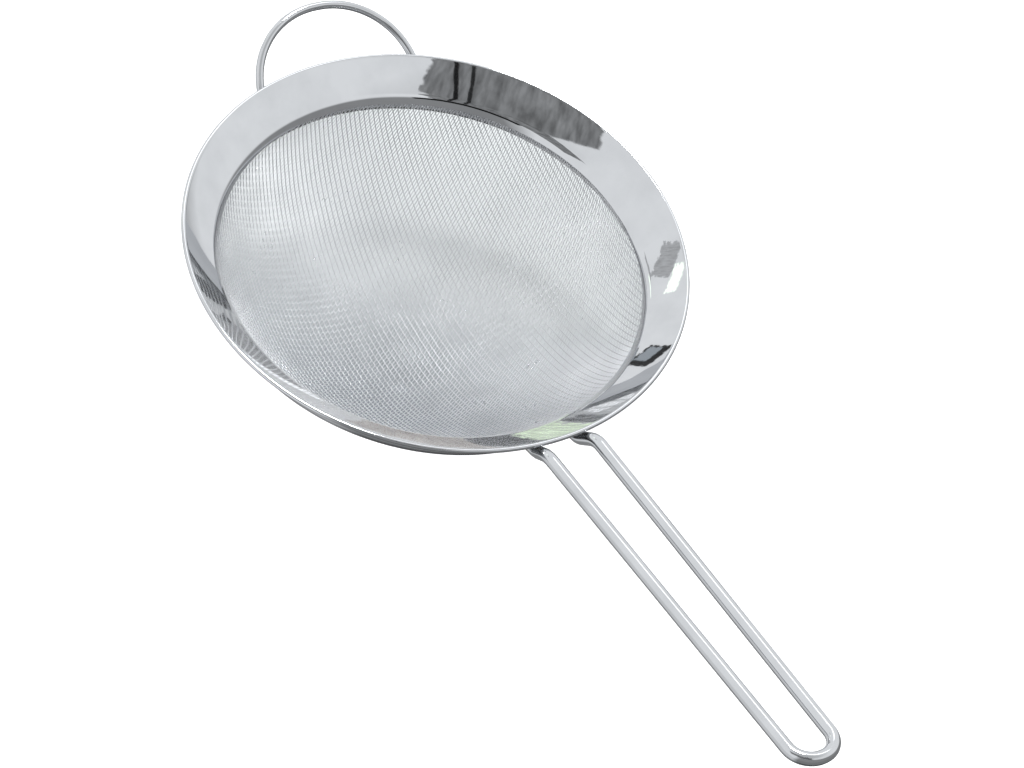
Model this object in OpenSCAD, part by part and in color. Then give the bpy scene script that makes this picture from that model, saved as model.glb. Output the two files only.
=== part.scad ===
// Tea strainer: a dished steel rim with a rolled edge, a woven bowl held under its lip by a clamp
// ring, a long handle bent from one wire, and a small wire loop that rests on the far side of a cup.
// Millimetres. +Z up, +X along the handle. The origin is the centre of the clamp ring's flat foot.

/* [Rim] */
// Clear diameter of the mouth, inside the lip
mouth_d = 79.6; // [60:0.2:120]
// Width of the lip that turns down towards the mesh
lip_w = 1.3; // [1:0.1:2]
// Height of the lip
lip_h = 1.25; // [0.9:0.05:1.8]
// Width of the sloping flange, from the lip to the outer edge
flange_w = 6.4; // [5.4:0.1:10]
// Height of the flange, from the lip to the middle of the rolled edge
flange_h = 4.1; // [3.4:0.1:6]
// Thickness of the rim's sheet
sheet_t = 0.4; // [0.3:0.05:0.5]
// Diameter of the rolled edge
edge_d = 0.9; // [0.7:0.05:1.2]

/* [Bowl] */
// Depth of the mesh bowl below the lip
bowl_depth = 25.5; // [18:0.5:34]
// Thickness of the woven cloth, two wires deep
cloth_t = 0.5; // [0.4:0.05:0.6]

/* [Clamp ring] */
// Height of the clamp ring's foot below the lip
ring_h = 3; // [2:0.1:5]
// Wall of the clamp ring
ring_t = 0.8; // [0.6:0.05:1.2]

/* [Handle] */
// Length of the handle beyond the rim
handle_len = 81.5; // [60:0.5:160]
// Diameter of the handle's wire
handle_wire_d = 2.5; // [2:0.1:3.2]
// Distance between the two legs at their welds, centre to centre
handle_weld_gap = 8.8; // [7.6:0.1:12]
// Distance between the two legs just outside the rim, centre to centre
handle_root_gap = 10.2; // [8:0.1:14]
// Distance between the two legs at the rounded tip, centre to centre
handle_tip_gap = 8.6; // [7.2:0.1:12]
// Upward slope of the handle, in degrees
handle_slope = 9; // [0:0.5:20]
// Height at which the handle leaves the rim, above the middle of the rolled edge
handle_lift = 0.15; // [0:0.05:1.5]

/* [Rest loop] */
// Diameter of the loop's wire
loop_wire_d = 1.6; // [1.2:0.1:2]
// Width of the loop, centre to centre of its wire
loop_w = 32.3; // [24:0.1:40]
// Reach of the loop beyond the rim, measured along the loop
loop_len = 11.3; // [9:0.1:20]
// Upward slope of the loop, in degrees
loop_slope = 25.6; // [15:0.1:30]
// Turn of the loop from the point straight opposite the handle, in degrees
loop_turn = -4; // [-10:0.5:10]

/* [Welds] */
// Gap between the clamp ring and the ends of the welded wires
weld_inset = 0.8; // [0.5:0.1:1.5]
// Depth that a welded wire sinks into its own flat seat
weld_sink = 0.35; // [0.2:0.05:0.4]
// Slope of the welded ends of the handle, in degrees
weld_slope = 18; // [12:1:24]
// Slope of the handle's rise around the rolled edge, in degrees
rise_slope = 45; // [40:1:55]
// Gap between the rising wire and the rolled edge
rise_gap = 0.1; // [0.05:0.05:0.4]

/* [Hidden] */
$fn = 96;

// Bend radii on the middle line of the handle, at its weld end and at the foot of its straight run
weld_bend_r = 4;
root_bend_r = 5;
// Share of half the gap that the bends of a rounded end take
end_round = 0.98;
// Lap of a wire's straight into its bends, and how much thicker the wire is in a bend
bend_lap = 0.2;
bend_swell = 0.02;

// Radii of the mouth, of the crease between lip and flange, and of the whole rim
mouth_r = mouth_d / 2;
crease_r = mouth_r + lip_w;
rim_r = crease_r + flange_w;
edge_r = edge_d / 2;
// Distance from the middle of the rolled edge to the flange's upper face, which it stands a little proud of
edge_cover = edge_r - 0.05;

// The lip and the flange as two slopes
lip_a = atan2(lip_h, lip_w);
edge_span = flange_w - edge_r;
flange_a = atan2(flange_h, edge_span) + asin(edge_cover / norm([edge_span, flange_h]));

// Heights, from the foot of the clamp ring upwards
lip_z = ring_h;
crease_z = lip_z + lip_h;
edge_z = crease_z + flange_h;
edge_c = [rim_r - edge_r, edge_z];

// A step out of the sheet's lower face at slope a
function below(a, t) = t * [sin(a), -cos(a)];
// The crease's corner, t below the upper faces
function crease_corner(t) = [crease_r, crease_z] + below((lip_a + flange_a) / 2, t) / cos((flange_a - lip_a) / 2);
// The lip's lower corner, t below the upper face
function lip_corner(t) = [mouth_r, lip_z] + below(lip_a, t);
// Height of the flange's lower face at radius r
function under_z(r) = crease_z + (r - crease_r) * tan(flange_a) - sheet_t / cos(flange_a);

// The cloth lies under the lip, and then follows a sphere down to the bowl's floor
cloth_top = crease_corner(sheet_t);
cloth_top_low = crease_corner(sheet_t + cloth_t);
cloth_in = lip_corner(sheet_t);
cloth_drop = bowl_depth - (lip_z - cloth_in[1]);
bowl_r = (pow(cloth_in[0], 2) + pow(cloth_drop, 2)) / (2 * cloth_drop);
bowl_z = cloth_in[1] - cloth_drop + bowl_r;

// Height of the outer sphere's cut, where its radius is that of the cloth's lower corner
cloth_out_r = lip_corner(sheet_t + cloth_t)[0];
cut_z = bowl_z - sqrt(pow(bowl_r + cloth_t, 2) - pow(cloth_out_r, 2));
cut_in_r = sqrt(pow(bowl_r, 2) - pow(bowl_z - cut_z, 2));

// The clamp ring stands just outside the cloth's flared edge
ring_out_r = cloth_top_low[0] + 0.15;
ring_in_r = ring_out_r - ring_t;
cloth_low_a = atan2(cloth_top_low[1] - cut_z, cloth_top_low[0] - cloth_out_r);
ring_shoulder_z = cut_z + (ring_in_r - cloth_out_r) * tan(cloth_low_a);
weld_r = ring_out_r + weld_inset;

// Side view of one handle leg, as [radius, height]: weld end, low bend, high bend and tip
hw_r = handle_wire_d / 2;
weld_pt = [weld_r, under_z(weld_r) - (hw_r - weld_sink) / cos(flange_a)];
rise_pt = edge_c + below(rise_slope, edge_r + hw_r + rise_gap);
low_x = (weld_pt[1] - rise_pt[1] + rise_pt[0] * tan(rise_slope) - weld_pt[0] * tan(weld_slope))
    / (tan(rise_slope) - tan(weld_slope));
low_pt = [low_x, weld_pt[1] + (low_x - weld_pt[0]) * tan(weld_slope)];
root_z = edge_z + handle_lift;
root_pt = [low_x + (root_z - low_pt[1]) / tan(rise_slope), root_z];
tip_x = rim_r + handle_len - hw_r;
tip_pt = [tip_x, root_z + (tip_x - root_pt[0]) * tan(handle_slope)];

// The rest loop lies in one sloping plane, through the seats of its two ends
lw_r = loop_wire_d / 2;
loop_half = loop_w / 2;
loop_seat_x = sqrt(pow(weld_r, 2) - pow(loop_half, 2));
loop_seat_z = under_z(weld_r) - (lw_r - weld_sink / 2) / cos(flange_a);
loop_run = (rim_r - loop_seat_x) / cos(loop_slope) + loop_len;

function unit(v) = v / norm(v);
function turn_angle(a, b, c) = acos(unit(b - a) * unit(c - b));
function turn_axis(a, b, c) = unit(cross(b - a, c - b));
// Length that the bend at corner i takes from each of its two straights
function bend_cut(p, r, i) = i == 0 || i == len(p) - 1 ? 0 : r[i] * tan(turn_angle(p[i - 1], p[i], p[i + 1]) / 2);
// Straight length between the bends at corners i and i + 1
function feed(p, r, i) = norm(p[i + 1] - p[i]) - bend_cut(p, r, i) - bend_cut(p, r, i + 1);
// Turn of the wire about itself between the bends at corners i - 1 and i
function roll(p, i) =
    let (n = turn_axis(p[i - 2], p[i - 1], p[i]), m = turn_axis(p[i - 1], p[i], p[i + 1]))
    atan2(unit(p[i] - p[i - 1]) * cross(n, m), n * m);

// The wire from corner i on, drawn along +Z from the origin, as a wire bender feeds, rolls and bends it
module wire_from(p, r, d, i) {
    straight = feed(p, r, i);
    first = i == 0;
    last = i == len(p) - 2;
    translate([0, 0, first ? 0 : -bend_lap])
        cylinder(d = d, h = straight + (first ? 0 : bend_lap) + (last ? 0 : bend_lap));
    if (!last) {
        turn = turn_angle(p[i], p[i + 1], p[i + 2]);
        translate([0, 0, straight]) rotate([0, 0, first ? 0 : roll(p, i + 1)]) translate([r[i + 1], 0, 0]) {
            rotate([90, 0, 180]) rotate_extrude(angle = turn) translate([r[i + 1], 0]) circle(d = d + bend_swell);
            rotate([0, turn, 0]) translate([-r[i + 1], 0, 0]) wire_from(p, r, d, i + 1);
        }
    }
}

// Round wire of diameter d along the corners p, with a bend of middle radius r[i] at each inner corner
module bent_wire(p, r, d) {
    z = unit(p[1] - p[0]);
    y = turn_axis(p[0], p[1], p[2]);
    x = cross(y, z);
    multmatrix([
        [x[0], y[0], z[0], p[0][0]],
        [x[1], y[1], z[1], p[0][1]],
        [x[2], y[2], z[2], p[0][2]],
        [0, 0, 0, 1]
    ]) wire_from(p, r, d, 0);
}

// Outline of the rim's sheet: lip and flange, of one thickness
module rim_sheet() {
    top_end = edge_c - below(flange_a, edge_cover);
    polygon([
        [mouth_r, lip_z],
        [crease_r, crease_z],
        top_end,
        top_end + below(flange_a, sheet_t),
        crease_corner(sheet_t),
        lip_corner(sheet_t)
    ]);
}

// Solid cone that fills the rim above its lower face, which the wires' seats are cut to
module seat_cutter() {
    rotate_extrude() polygon([
        [0, under_z(ring_out_r)],
        [ring_out_r, under_z(ring_out_r)],
        [edge_c[0], under_z(edge_c[0])],
        [edge_c[0], edge_z + edge_d],
        [0, edge_z + edge_d]
    ]);
}

module rim() {
    color("silver") union() {
        rotate_extrude() rim_sheet();
        rotate_extrude() translate(edge_c) circle(r = edge_r);
    }
}

module mesh_bowl() {
    color("lightsteelblue") rotate_extrude() union() {
        difference() {
            translate([0, bowl_z]) circle(r = bowl_r + cloth_t);
            translate([0, bowl_z]) circle(r = bowl_r);
            translate([-2 * bowl_r, cut_z]) square(4 * bowl_r);
            translate([-4 * bowl_r, bowl_z - 2 * bowl_r]) square(4 * bowl_r);
        }
        polygon([[cut_in_r, cut_z], [cloth_out_r, cut_z], cloth_top_low, cloth_top, cloth_in]);
    }
}

module clamp_ring() {
    color("gainsboro") rotate_extrude() polygon([
        [ring_in_r, 0],
        [ring_out_r, 0],
        [ring_out_r, under_z(ring_out_r)],
        cloth_top,
        cloth_top_low,
        [ring_in_r, ring_shoulder_z]
    ]);
}

module handle() {
    gaps = [handle_weld_gap, handle_weld_gap, handle_root_gap, handle_tip_gap];
    side = [weld_pt, low_pt, root_pt, tip_pt];
    leg = [for (i = [0 : 3]) [side[i][0], gaps[i] / 2, side[i][1]]];
    back = [for (i = [3 : -1 : 0]) [leg[i][0], -leg[i][1], leg[i][2]]];
    bends = [0, weld_bend_r, root_bend_r, end_round * handle_tip_gap / 2];
    color("silver") difference() {
        bent_wire(concat(leg, back), concat(bends, [bends[3], bends[2], bends[1], 0]), handle_wire_d);
        seat_cutter();
    }
}

module rest_loop() {
    path = [
        [0, loop_half, 0],
        [loop_run, loop_half, 0],
        [loop_run, -loop_half, 0],
        [0, -loop_half, 0]
    ];
    bend = end_round * loop_half;
    color("silver") difference() {
        rotate([0, 0, 180 + loop_turn])
            translate([loop_seat_x, 0, loop_seat_z])
                rotate([0, -loop_slope, 0])
                    bent_wire(path, [0, bend, bend, 0], loop_wire_d);
        seat_cutter();
    }
}

rim();
mesh_bowl();
clamp_ring();
handle();
rest_loop();
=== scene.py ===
"""A stainless tea strainer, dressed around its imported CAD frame.

The rim, the clamp ring and both wires are rebuilt as smooth surfaces, and the bowl is woven wire by
wire. Shapes are worked out in millimetres in the row frame (+Z up, +X along the handle) and scaled to
metres when a mesh is made.
"""

from __future__ import annotations

import logging
import math
import sys
from dataclasses import dataclass, field
from enum import Enum
from typing import Any, Sequence

import bpy
import numpy as np
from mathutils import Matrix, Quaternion, Vector


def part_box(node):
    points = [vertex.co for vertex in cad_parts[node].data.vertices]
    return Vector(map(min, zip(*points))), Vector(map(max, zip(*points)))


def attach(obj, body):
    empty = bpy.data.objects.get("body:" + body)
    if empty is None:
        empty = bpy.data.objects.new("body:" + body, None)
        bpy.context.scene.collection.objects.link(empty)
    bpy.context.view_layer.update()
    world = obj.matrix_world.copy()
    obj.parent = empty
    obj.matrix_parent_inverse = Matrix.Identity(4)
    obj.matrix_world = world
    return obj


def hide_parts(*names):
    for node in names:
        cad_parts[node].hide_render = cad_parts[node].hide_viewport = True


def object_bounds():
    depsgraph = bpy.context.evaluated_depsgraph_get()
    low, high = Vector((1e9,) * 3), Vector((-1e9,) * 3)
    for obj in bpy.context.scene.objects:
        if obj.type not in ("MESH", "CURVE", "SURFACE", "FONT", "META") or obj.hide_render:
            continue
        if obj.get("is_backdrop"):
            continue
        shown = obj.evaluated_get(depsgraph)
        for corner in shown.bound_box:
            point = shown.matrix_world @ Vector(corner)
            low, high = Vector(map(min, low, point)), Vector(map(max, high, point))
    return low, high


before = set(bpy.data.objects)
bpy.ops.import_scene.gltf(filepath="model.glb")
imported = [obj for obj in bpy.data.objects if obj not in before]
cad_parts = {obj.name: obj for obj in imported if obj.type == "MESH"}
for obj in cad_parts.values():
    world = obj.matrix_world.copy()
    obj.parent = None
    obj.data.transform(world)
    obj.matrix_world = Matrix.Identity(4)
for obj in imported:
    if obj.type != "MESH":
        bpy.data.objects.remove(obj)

MM = 0.001
ROOT = "root"
LOG = logging.getLogger("tea_strainer")
FLAT = (1.0, 1.0, 0.0)
DAYLIGHT = (0.97, 0.985, 1.0, 1.0)

Socket = bpy.types.NodeSocket
Colour = tuple[float, float, float, float]


class Slot(Enum):
    """The record's material slots."""

    SHEET = "polished_sheet"
    CLOTH = "woven_wire"
    WIRE = "polished_wire"


# ---------------------------------------------------------------- surfaces


@dataclass
class Surface:
    """Points and faces of one closed shell.

    Attributes:
        points: one row per point, in millimetres.
        faces: arrays of point numbers, one row per face, each array with one number of corners.
        uv: one array per array of faces, with a (u, v) for each of its corners, in millimetres.
    """

    points: np.ndarray
    faces: list[np.ndarray]
    uv: list[np.ndarray] = field(default_factory=list)

    @staticmethod
    def joined(parts: Sequence[Surface]) -> Surface:
        """Put several shells into one surface.

        Args:
            parts: the shells, all with UVs or all without.

        Returns:
            One surface, with the faces that have the same number of corners in one array.
        """
        starts = np.cumsum([0] + [len(p.points) for p in parts])
        corners = sorted({f.shape[1] for p in parts for f in p.faces})
        faces: dict[int, list[np.ndarray]] = {n: [] for n in corners}
        maps: dict[int, list[np.ndarray]] = {n: [] for n in corners}
        for start, part in zip(starts, parts):
            for i, f in enumerate(part.faces):
                faces[f.shape[1]].append(f + start)
                if part.uv:
                    maps[f.shape[1]].append(part.uv[i])
        return Surface(
            np.concatenate([p.points for p in parts]),
            [np.concatenate(faces[n]) for n in corners],
            [np.concatenate(maps[n]) for n in corners] if parts[0].uv else [],
        )

    def to_piece(self, name: str, slot: Slot, material: bpy.types.Material, *nodes: str) -> bpy.types.Object:
        """Make the Blender object, in metres, riding on the root body.

        Args:
            name: the piece's name.
            slot: the record's slot for it; not used.
            material: its Blender material.
            nodes: the CAD nodes that it stands for.

        Returns:
            The new object.
        """
        mesh = bpy.data.meshes.new(name)
        mesh.vertices.add(len(self.points))
        mesh.vertices.foreach_set("co", (self.points * MM).astype(np.float32).ravel())
        totals = np.concatenate([np.full(len(f), f.shape[1], np.int32) for f in self.faces])
        mesh.loops.add(int(totals.sum()))
        corners = np.concatenate([f.ravel() for f in self.faces])
        mesh.loops.foreach_set("vertex_index", corners.astype(np.int32))
        mesh.polygons.add(len(totals))
        mesh.polygons.foreach_set("loop_start", (np.cumsum(totals) - totals).astype(np.int32))
        mesh.polygons.foreach_set("use_smooth", totals == 4)
        if self.uv:
            layer = mesh.uv_layers.new(name="along")
            flat = np.concatenate([u.reshape(-1, 2) for u in self.uv])
            layer.data.foreach_set("uv", flat.astype(np.float32).ravel())
        mesh.update(calc_edges=True)
        mesh.validate()
        mesh.materials.append(material)
        piece = bpy.data.objects.new(name, mesh)
        bpy.context.scene.collection.objects.link(piece)
        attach(piece, ROOT)
        if nodes:
            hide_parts(*nodes)
        LOG.info("%s: %d points, %d faces", name, len(self.points), len(totals))
        return piece


def rounded(corners: np.ndarray, radii: Sequence[float], steps: int, closed: bool) -> np.ndarray:
    """Round the corners of a line with arcs.

    At a corner where the line turns by t, an arc of radius r starts r tan(t / 2) before the corner. Its
    centre lies r / cos(t / 2) from the corner, along the difference of the two directions.

    Args:
        corners: the corners, one row each, in two or three dimensions.
        radii: the radius at each corner, 0 for a sharp one or for an end.
        steps: the number of points on each arc.
        closed: whether the last corner joins the first.

    Returns:
        The points of the rounded line.
    """
    count, out = len(corners), []
    for i, (corner, radius) in enumerate(zip(corners, radii)):
        if radius == 0 or (not closed and i in (0, count - 1)):
            out.append(corner[None])
            continue
        before, after = corner - corners[i - 1], corners[(i + 1) % count] - corner
        before, after = before / np.linalg.norm(before), after / np.linalg.norm(after)
        turn = math.acos(float(np.clip(before @ after, -1, 1)))
        inward = (after - before) / np.linalg.norm(after - before)
        centre = corner + inward * radius / math.cos(turn / 2)
        across = (before + after) / np.linalg.norm(before + after)
        angle = np.linspace(-turn / 2, turn / 2, steps)[:, None]
        out.append(centre + radius * (np.sin(angle) * across - np.cos(angle) * inward))
    return np.concatenate(out)


def grid_faces(rows: int, columns: int, wrap_rows: bool) -> tuple[np.ndarray, np.ndarray, np.ndarray]:
    """Quads of a grid of points whose columns wrap round.

    Args:
        rows: the number of rows of points.
        columns: the number of points in a row.
        wrap_rows: whether the last row joins the first.

    Returns:
        The quads, and the row and column of each of their corners, without wrapping.
    """
    i, j = np.meshgrid(np.arange(rows if wrap_rows else rows - 1), np.arange(columns), indexing="ij")
    row = np.stack([i, i, i + 1, i + 1], -1).reshape(-1, 4)
    column = np.stack([j, j + 1, j + 1, j], -1).reshape(-1, 4)
    return (row % rows) * columns + column % columns, row, column


def revolved(outline: np.ndarray, segments: int, swell: np.ndarray | None = None) -> Surface:
    """Turn a closed outline of (radius, height) about the Z axis.

    A point is (r cos a, r sin a, z), with a going once round. The outline goes counter-clockwise, so
    that faces point outwards.

    Args:
        outline: the closed outline, one row per point.
        segments: the number of steps round the axis.
        swell: how far each point moves along the outline's own normal, as (outline points, segments).

    Returns:
        The closed surface, with v along the outline and u round the axis.
    """
    angle = np.linspace(0, 2 * np.pi, segments, endpoint=False)
    step = np.roll(outline, -1, 0) - np.roll(outline, 1, 0)
    normal = np.stack([step[:, 1], -step[:, 0]], 1)
    normal /= np.maximum(np.linalg.norm(normal, axis=1, keepdims=True), 1e-9)
    moved = outline[:, None, :] + (0 if swell is None else normal[:, None, :] * swell[:, :, None])
    moved = np.broadcast_to(moved, (len(outline), segments, 2))
    points = np.stack([moved[..., 0] * np.cos(angle), moved[..., 0] * np.sin(angle), moved[..., 1]], -1)
    quads, row, column = grid_faces(len(outline), segments, wrap_rows=True)
    lengths = np.linalg.norm(np.roll(outline, -1, 0) - outline, axis=1)
    along = np.concatenate([[0], np.cumsum(lengths)])
    uv = np.stack([column * 2 * np.pi * outline[:, 0].max() / segments, along[row]], -1)
    return Surface(points.reshape(-1, 3), [quads], [uv])


def swept(path: np.ndarray, radii: np.ndarray, up: np.ndarray, sides: int, with_uv: bool = True) -> Surface:
    """Carry a circle along a path and close both ends.

    With T the path's direction, B = up x T and N = T x B, a point is path + r (cos a N - sin a B), with
    a going once round.

    Args:
        path: the middle line, one row per ring.
        radii: the radius of each ring.
        up: a direction that the path never runs along, or one for each ring.
        sides: the number of points in a ring.
        with_uv: whether the surface gets UVs.

    Returns:
        The closed tube, with u round it and v along it.
    """
    along = np.gradient(path, axis=0)
    along /= np.linalg.norm(along, axis=1, keepdims=True)
    side = np.cross(np.broadcast_to(up, path.shape), along)
    side /= np.linalg.norm(side, axis=1, keepdims=True)
    top = np.cross(along, side)
    angle = np.linspace(0, 2 * np.pi, sides, endpoint=False)
    ring = np.cos(angle)[None, :, None] * top[:, None] - np.sin(angle)[None, :, None] * side[:, None]
    points = path[:, None] + radii[:, None, None] * ring
    quads, row, column = grid_faces(len(path), sides, wrap_rows=False)
    first = np.arange(sides)[None, ::-1]
    last = (len(path) - 1) * sides + np.arange(sides)[None]
    surface = Surface(points.reshape(-1, 3), [quads, first, last])
    if with_uv:
        travelled = np.concatenate([[0], np.cumsum(np.linalg.norm(np.diff(path, axis=0), axis=1))])
        uv = np.stack([column * 2 * np.pi * radii.max() / sides, travelled[row]], -1)
        cap = ring[0, ::-1, :2][None] * radii[0]
        surface.uv = [uv, cap, ring[-1, :, :2][None] * radii[-1]]
    return surface


# ---------------------------------------------------------------- finishes


class Shading:
    """Adds shader nodes to one node tree, and links them."""

    def __init__(self, tree: bpy.types.NodeTree) -> None:
        """Start from an empty tree.

        Args:
            tree: the tree of a material or of the world.
        """
        self.tree = tree
        tree.nodes.clear()

    @classmethod
    def of_material(cls, name: str) -> tuple[bpy.types.Material, Shading]:
        """Make a material and the shading of its tree.

        Args:
            name: the material's name.

        Returns:
            The material and the shading.
        """
        made = bpy.data.materials.new(name)
        made.use_nodes = True
        return made, cls(made.node_tree)

    def add(self, kind: str, inputs: dict[str | int, Any] | None = None, **settings: Any) -> bpy.types.Node:
        """Add a node.

        Args:
            kind: the node's Blender type.
            inputs: a value or an output socket for each named or numbered input.
            settings: values of the node's own properties.

        Returns:
            The node.
        """
        node = self.tree.nodes.new(kind)
        for key, value in settings.items():
            setattr(node, key, value)
        for key, value in (inputs or {}).items():
            if isinstance(value, bpy.types.NodeSocket):
                self.tree.links.new(value, node.inputs[key])
            else:
                node.inputs[key].default_value = value
        return node

    def object_place(self) -> Socket:
        """The place on the object, in its own metres."""
        return self.add("ShaderNodeTexCoord").outputs["Object"]

    def vector(self, operation: str, a: Any, b: Any) -> Socket:
        """The vector that a Vector Math node makes of two vectors or sockets."""
        return self.add("ShaderNodeVectorMath", {0: a, 1: b}, operation=operation).outputs[0]

    def measure(self, operation: str, a: Any, b: Any = (0.0, 0.0, 0.0)) -> Socket:
        """The number that a Vector Math node makes of two vectors or sockets."""
        return self.add("ShaderNodeVectorMath", {0: a, 1: b}, operation=operation).outputs["Value"]

    def height(self, vector: Socket) -> Socket:
        """A vector's third coordinate."""
        return self.add("ShaderNodeSeparateXYZ", {0: vector}).outputs[2]

    def axis_distance(self, place: Socket) -> Socket:
        """A place's distance from the Z axis."""
        return self.measure("LENGTH", self.vector("MULTIPLY", place, FLAT))

    def math(self, operation: str, a: Any, b: Any = 0.0) -> Socket:
        """The result of a Math node on two values or sockets."""
        return self.add("ShaderNodeMath", {0: a, 1: b}, operation=operation).outputs[0]

    def noise(self, vector: Any, scale: float, detail: float = 2.0, dimensions: str = "3D") -> Socket:
        """A noise value at a place. One-dimensional noise takes a number as its place."""
        place = {"W": vector} if dimensions == "1D" else {"Vector": vector}
        inputs = {**place, "Scale": scale, "Detail": detail}
        return self.add("ShaderNodeTexNoise", inputs, noise_dimensions=dimensions).outputs[0]

    def spread(self, value: Any, low: float, high: float, to_low: float, to_high: float) -> Socket:
        """A value's range from low to high, taken to another range and held inside it."""
        inputs = {"Value": value, "From Min": low, "From Max": high, "To Min": to_low, "To Max": to_high}
        return self.add("ShaderNodeMapRange", inputs).outputs[0]

    def mixed(self, share: Any, a: Any, b: Any) -> Socket:
        """Two colours mixed by a share of the second."""
        node = self.add("ShaderNodeMix", data_type="RGBA")
        for socket, value in ((node.inputs[0], share), (node.inputs[6], a), (node.inputs[7], b)):
            if isinstance(value, bpy.types.NodeSocket):
                self.tree.links.new(value, socket)
            else:
                socket.default_value = value
        return node.outputs[2]


@dataclass(frozen=True)
class SteelFinish:
    """Bright stainless steel.

    Attributes:
        name: the material's name.
        colour: the metal's colour where it is clean.
        cast: its colour where it is a little duller.
        roughness: the least and most roughness.
        line_depth: the depth of the polishing or drawing lines, in millimetres.
    """

    name: str
    colour: Colour
    cast: Colour
    roughness: tuple[float, float]
    line_depth: float

    def lines(self, s: Shading, place: Socket) -> Socket:
        """The height of the fine lines, from 0 to 1; plain metal has blotches only."""
        return s.noise(place, 900.0, 2.0)

    def tint(self, s: Shading, place: Socket, colour: Socket) -> Socket:
        """The colour with any stain laid over it; plain metal has none."""
        return colour

    def material(self) -> bpy.types.Material:
        """Make the material.

        The colour and roughness drift with soft blotches a few millimetres across, and the lines give
        the bump.

        Returns:
            The material.
        """
        made, s = Shading.of_material(self.name)
        place = s.object_place()
        blotch = s.noise(place, 140.0, 3.0)
        lines = self.lines(s, place)
        colour = self.tint(s, place, s.mixed(s.spread(blotch, 0.35, 0.7, 0.0, 1.0), self.colour, self.cast))
        low, high = self.roughness
        streak = s.math("ADD", s.math("MULTIPLY", blotch, 0.6), s.math("MULTIPLY", lines, 0.4))
        rough = s.spread(streak, 0.3, 0.7, low, high)
        bump = s.add("ShaderNodeBump", {"Strength": 1.0, "Distance": self.line_depth * MM, "Height": lines})
        shader = s.add("ShaderNodeBsdfPrincipled", {
            "Base Color": colour, "Metallic": 1.0, "Roughness": rough, "Normal": bump.outputs[0],
        })
        s.add("ShaderNodeOutputMaterial", {"Surface": shader.outputs[0]})
        return made


@dataclass(frozen=True)
class TurnedSheet(SteelFinish):
    """Mirror-polished sheet with faint rings about the axis, and heat tint under each weld.

    Attributes:
        welds: the middle of each weld, in millimetres.
        tint_r: how far the heat tint reaches from a weld, in millimetres.
        heat: the tint's colour.
    """

    welds: tuple[tuple[float, float, float], ...] = ()
    tint_r: float = 2.6
    heat: Colour = (0.34, 0.27, 0.21, 1.0)

    def lines(self, s: Shading, place: Socket) -> Socket:
        """Rings: noise in one dimension, on the distance from the Z axis plus the height."""
        along = s.math("ADD", s.axis_distance(place), s.height(place))
        return s.noise(along, 5200.0, 3.0, "1D")

    def tint(self, s: Shading, place: Socket, colour: Socket) -> Socket:
        """Heat tint that fades with the distance from each weld, on faces that look down."""
        upward = s.height(s.add("ShaderNodeNewGeometry").outputs["Normal"])
        below = s.spread(upward, -0.25, 0.05, 1.0, 0.0)
        for weld in self.welds:
            middle = tuple(x * MM for x in weld)
            away = s.measure("DISTANCE", place, middle)
            near = s.spread(away, 0.3 * self.tint_r * MM, self.tint_r * MM, 0.8, 0.0)
            colour = s.mixed(s.math("MULTIPLY", near, below), colour, self.heat)
        return colour


@dataclass(frozen=True)
class DrawnWire(SteelFinish):
    """Polished wire with fine drawing lines along it, and heat tint towards its welded ends.

    Attributes:
        clean_r: the radius from the Z axis past which there is no heat tint, in millimetres.
        fade_w: the width over which the tint fades out, in millimetres.
        heat: the tint's colour.
    """

    clean_r: float = 46.0
    fade_w: float = 3.0
    heat: Colour = (0.36, 0.30, 0.25, 1.0)

    def lines(self, s: Shading, place: Socket) -> Socket:
        """Lines along the wire: noise on the wire's own map, stretched 60 times along it."""
        own = s.add("ShaderNodeUVMap", uv_map="along").outputs[0]
        return s.noise(s.vector("MULTIPLY", own, (9.0, 0.15, 0.0)), 1.0, 3.0)

    def tint(self, s: Shading, place: Socket, colour: Socket) -> Socket:
        """Heat tint that fades out along the wire with the distance from the Z axis."""
        start = self.clean_r - self.fade_w
        near = s.spread(s.axis_distance(place), start * MM, self.clean_r * MM, 0.75, 0.0)
        return s.mixed(near, colour, self.heat)


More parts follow.
